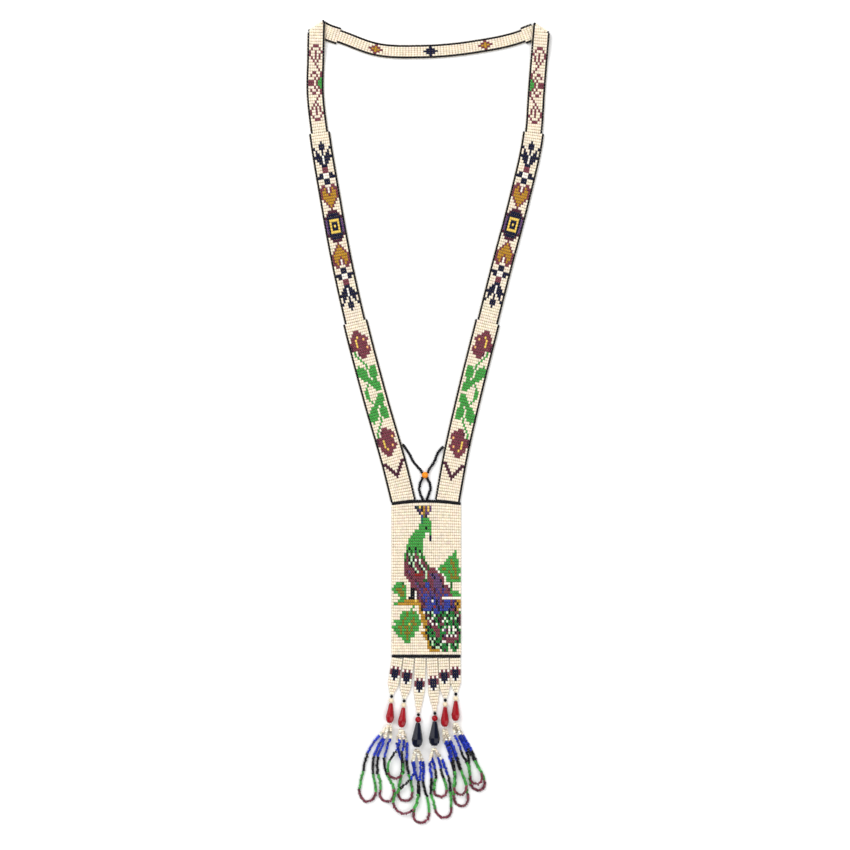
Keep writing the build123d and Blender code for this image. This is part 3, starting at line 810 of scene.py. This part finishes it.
def make_strap(side):
    curve, distance = smooth(LINES[side])
    spans = {
        "lower": (BORDER_Y + LOWER_START, FOLD_1_Y, ROSE, ROSE_MIRROR),
        "middle": (FOLD_1_Y, FOLD_2_Y, LOTUS, LOTUS_MIRROR),
        "upper": (FOLD_2_Y, CORNERS[side][1][1] + UPPER_SPARE, SCROLL, SCROLL_MIRROR),
    }
    for part, (low, high, motif, mirror) in spans.items():
        columns = STRAP_COLUMNS[part]
        at, across = strap_rows(curve, distance, low, high)
        height = climbing if part == "upper" else level
        centres = grid_on(at, across, columns, STRAP_COLUMN, height)
        letters = chart(motif, len(at), columns, mirror)
        if part == "lower":
            vee = chart(CHEVRON, len(at), columns)
            letters[vee != "."] = vee[vee != "."]
        if part == "upper":
            letters = np.roll(letters, SCROLL_SHIFT, axis=0)
        letters[:, [0, -1]] = "K"
        if side == "right":
            letters = letters[:, ::-1].copy()
        name = f"{side}_{part}_strap"
        low_fold = (f"{side}_lower", f"{side}_middle", at_fold(curve, FOLD_1_Y))
        high_fold = (f"{side}_middle", f"{side}_upper", at_fold(curve, FOLD_2_Y))
        if part == "lower":
            pieces = weave(name, centres, letters, STRAP_COLUMN)
            blend_all(pieces, *low_fold, name)
        elif part == "upper":
            letters[beyond(centres, CORNERS[side])] = " "
            pieces = weave(name, centres, letters, STRAP_COLUMN)
            blend_all(pieces, *high_fold, name)
        else:
            # the strap is made in two halves, one by each of its folds
            half = len(at) // 2
            for end, rows, fold in (
                ("upper", slice(None, half), high_fold),
                ("lower", slice(half, None), low_fold),
            ):
                pieces = weave(
                    f"{name}_{end}_half", centres[rows], letters[rows], STRAP_COLUMN
                )
                blend_all(pieces, *fold, name)
    make_corner(side)


def make_corner(side):
    """The slanting fold that carries the upper strap round into the neck band."""
    start, end = (np.array((*p, MID + FOLDED_LIFT / 2)) for p in CORNERS[side])
    count = int(np.linalg.norm(end - start) / STRAP_COLUMN)
    t = (np.arange(count) + 0.5)[:, None] / count
    centres = start + (end - start) * t
    letters = np.full(count, ".")
    letters[[0, -1]] = "K"
    name = f"{side}_strap_corner_beads"
    roll = bead_row(name, centres, letters, STRAP_COLUMN, BEAD_R * CORNER_GIRTH)
    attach(roll, f"{side}_upper")


def make_neck():
    curve, distance = smooth(NECK_LINE)
    count = round(distance[-1] / ROW_PITCH)
    where = (np.arange(count) + 0.5) * distance[-1] / count
    at, way = along_line(curve, distance, where)
    across = np.stack([way[:, 1], -way[:, 0]], axis=1)
    wide = STRAP_COLUMNS["upper"]
    centres = grid_on(at, across, wide, STRAP_COLUMN, level)
    letters = np.full((count, wide), ".")
    slim = (at[:, 0] > NECK_WIDE_BEYOND[0]) & (at[:, 0] < NECK_WIDE_BEYOND[1])
    letters[:, [0, -1]] = "K"
    letters[np.ix_(slim, [1, -2])] = "K"
    letters[np.ix_(slim, [0, -1])] = " "
    for x, motif in NECK_MOTIFS:
        middle = int(np.argmin(np.abs(at[:, 0] - x)))
        for step, beads in enumerate(motif):
            for column, bead in enumerate(beads):
                if bead != ".":
                    letters[middle - len(motif) // 2 + step, column + 1] = bead
    letters[beyond(centres, CORNERS["left"])] = " "
    letters[beyond(centres, CORNERS["right"])] = " "
    some = (letters != " ").any(axis=1)
    pieces = weave("neck_band", centres[some], letters[some], STRAP_COLUMN)
    ride_all(pieces, "neck", "neck_band")


def make_tab(number):
    end_x, end_y, taper = TAB_ENDS[number - 1]
    root = np.array(((number - (TABS + 1) / 2) * TAB_PITCH, TAB_ROOT_Y))
    end = np.array((end_x, end_y + TAB_END_GAP))
    length = np.linalg.norm(end - root)
    way = (end - root) / length
    count = round(length / ROW_PITCH)
    where = (np.arange(count) + 0.5) * length / count
    at = root + way * where[:, None]
    across = np.tile((-way[1], way[0]), (count, 1))
    centres = grid_on(at, across, TAB_COLUMNS, PANEL_COLUMN, level)
    letters = np.full((count, TAB_COLUMNS), ".")
    middle = int(np.argmin(np.abs(at[:, 1] - TAB_MOTIF_Y[number - 1])))
    for step, beads in enumerate(TAB_MOTIF):
        letters[middle - len(TAB_MOTIF) // 2 + step] = list(beads)
    # towards its point a tab loses beads, and its rows draw in like a tongue's
    columns = np.arange(TAB_COLUMNS)
    for row, left in enumerate(length - where):
        share = TAB_POINT + (1 - TAB_POINT) * np.sin(pi / 2 * min(left / taper, 1))
        beads = max(1, round(TAB_COLUMNS * share))
        first = (TAB_COLUMNS - beads) // 2
        squeeze = min(1, TAB_COLUMNS * share / beads)
        offset = (columns - first - (beads - 1) / 2) * PANEL_COLUMN * squeeze
        centres[row, :, :2] = at[row] + across[row] * offset[:, None]
        letters[row, (columns < first) | (columns >= first + beads)] = " "
    pieces = weave(f"tab_{number}", centres, letters, PANEL_COLUMN)
    ride_all(pieces, f"tab_{number}", f"tab_{number}")


# --- strings of beads ------------------------------------------------------------------

def strand_route(name, points):
    """The smooth line of a strand: a thread that lies along it, and points read from it."""
    curve = bpy.data.curves.new(name, "CURVE")
    curve.dimensions = "3D"
    curve.resolution_u = 16
    spline = curve.splines.new("NURBS")
    spline.points.add(len(points) - 1)
    for target, point in zip(spline.points, points):
        target.co = (*(c * MM for c in point), 1)
    spline.order_u = 3
    spline.use_endpoint_u = True
    thread = bpy.data.objects.new(name, curve)
    bpy.context.scene.collection.objects.link(thread)
    line = bpy.data.meshes.new_from_object(thread)
    path = np.array([v.co for v in line.vertices]) / MM
    bpy.data.meshes.remove(line)
    curve.bevel_depth = THREAD_R * MM
    curve.bevel_resolution = 2
    curve.materials.append(THREAD)
    return thread, path


def string_beads(name, path, diameter, pitch, colour_at, fill=BEAD_FILL, loose=0, inside=None):
    """Beads strung along a path, and its length. Loose makes them uneven, up to 1.

    Where inside is a larger bead's middle, the beads within that bead are thread-thin.
    """
    distance = lengths_along(path)
    count = int(distance[-1] / pitch)
    where = (np.arange(count) + 0.5) * distance[-1] / count
    centres = read_at(where, distance, path)
    before = read_at(where - pitch / 2, distance, path)
    after = read_at(where + pitch / 2, distance, path)
    letters = np.array([colour_at(w / distance[-1]) for w in where])
    girth = np.ones(count)
    if inside is not None:
        girth[np.linalg.norm(centres - inside, axis=1) < LINK_BEAD_REACH] = HOLE_SHARE
    axes = unit(after - before) + rng.normal(0, LOOSE_TILT * loose, (count, 3))
    girth = girth * rng.uniform(1, 1 + LOOSE_SWELL * loose, count)
    aside = np.cross(axes, UP)
    centres = centres + aside * rng.normal(0, LOOSE_SHIFT * loose, (count, 1))
    ups = np.tile(UP, (count, 1))
    # the looser the string, the wider the random brightness spread: random tone plus painted
    # glints
    tone_and_glint_spread = SHADE_SPREAD + LOOSE_TONE_AND_GLINT * loose
    beads = bead_mesh(
        name, centres, axes, ups, letters, pitch * fill, diameter / 2, girth, tone_and_glint_spread
    )
    return beads, distance[-1]


def fringe_colour(share):
    from_drop = 2 * min(share, 1 - share)
    return next(letter for end, letter in FRINGE_BANDS if from_drop < end)


def make_fringe():
    for name, points in LOOPS.items():
        body = f"fringe_{name[-2]}"
        thread, path = strand_route(f"{name}_thread", points)
        beads, length = string_beads(
            f"{name}_beads", path, STRAND, STRAND_PITCH, fringe_colour, FRINGE_FILL, loose=1
        )
        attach(beads, body)
        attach(thread, body)
        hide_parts(name)


def make_links():
    for side, points in LINKS.items():
        thread, path = strand_route(f"{side}_link_thread", points)
        beads, length = string_beads(
            f"{side}_link_beads", path, LINK_GIRTH * LINK, LINK_PITCH, lambda share: "K",
            loose=0.5, inside=LINK_BEAD_AT,
        )
        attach(beads, f"{side}_lower")
        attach(thread, f"{side}_lower")
        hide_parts(f"{side}_link_strand", f"{side}_bow_strand")


# --- glass that keeps its CAD shape ----------------------------------------------------

def finish_node(name, material):
    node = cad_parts[name]
    if not node.material_slots:
        node.data.materials.append(material)
    for place in node.material_slots:
        place.material = material


def finish_glass():
    for number in range(1, TABS + 1):
        large = number in LARGE_DROPS
        finish_node(f"drop_{number}", DARK if large else RED)
        finish_node(f"collar_bead_{number}", RED if large else CREAM)
        finish_node(f"tip_bead_{number}", BLACK)
        finish_node(f"drop_thread_{number}", THREAD)
    finish_node("link_bead", ORANGE)


# --- floor, light and camera -----------------------------------------------------------

def make_stage():
    bpy.ops.mesh.primitive_plane_add(size=FLOOR_SIZE, location=FLOOR_AT)
    floor = bpy.context.object
    floor.name = "floor"
    material, shader = new_material("white_paper")
    shader.inputs["Base Color"].default_value = (0.93, 0.93, 0.93, 1)
    shader.inputs["Roughness"].default_value = 0.9
    floor.data.materials.append(material)

    world = bpy.data.worlds.new("soft_room")
    bpy.context.scene.world = world
    world.use_nodes = True
    room = world.node_tree.nodes["Background"]
    room.inputs["Color"].default_value = (1, 1, 1, 1)
    room.inputs["Strength"].default_value = ROOM_STRENGTH

    for name, place, power in LAMPS:
        light = bpy.data.lights.new(name, "AREA")
        light.size = LAMP_SIZE
        light.energy = power
        lamp = bpy.data.objects.new(name, light)
        lamp.location = place
        way = Vector(LAMP_AIM) - Vector(place)
        lamp.rotation_euler = way.to_track_quat("-Z", "Y").to_euler()
        bpy.context.scene.collection.objects.link(lamp)

    camera = bpy.data.cameras.new("camera")
    camera.lens = CAMERA_LENS
    camera.sensor_width = CAMERA_SENSOR
    camera.clip_end = CAMERA_CLIP
    eye = bpy.data.objects.new("camera", camera)
    height = VIEW_WIDTH * MM * CAMERA_LENS / CAMERA_SENSOR
    eye.location = (VIEW_AT[0] * MM, VIEW_AT[1] * MM, height)
    bpy.context.scene.collection.objects.link(eye)
    bpy.context.scene.camera = eye
    bpy.context.scene.view_settings.view_transform = "Standard"


make_stage()
make_fringe()
make_links()
make_panel()
make_strap("left")
make_strap("right")
make_neck()
for tab in range(1, TABS + 1):
    make_tab(tab)
finish_glass()
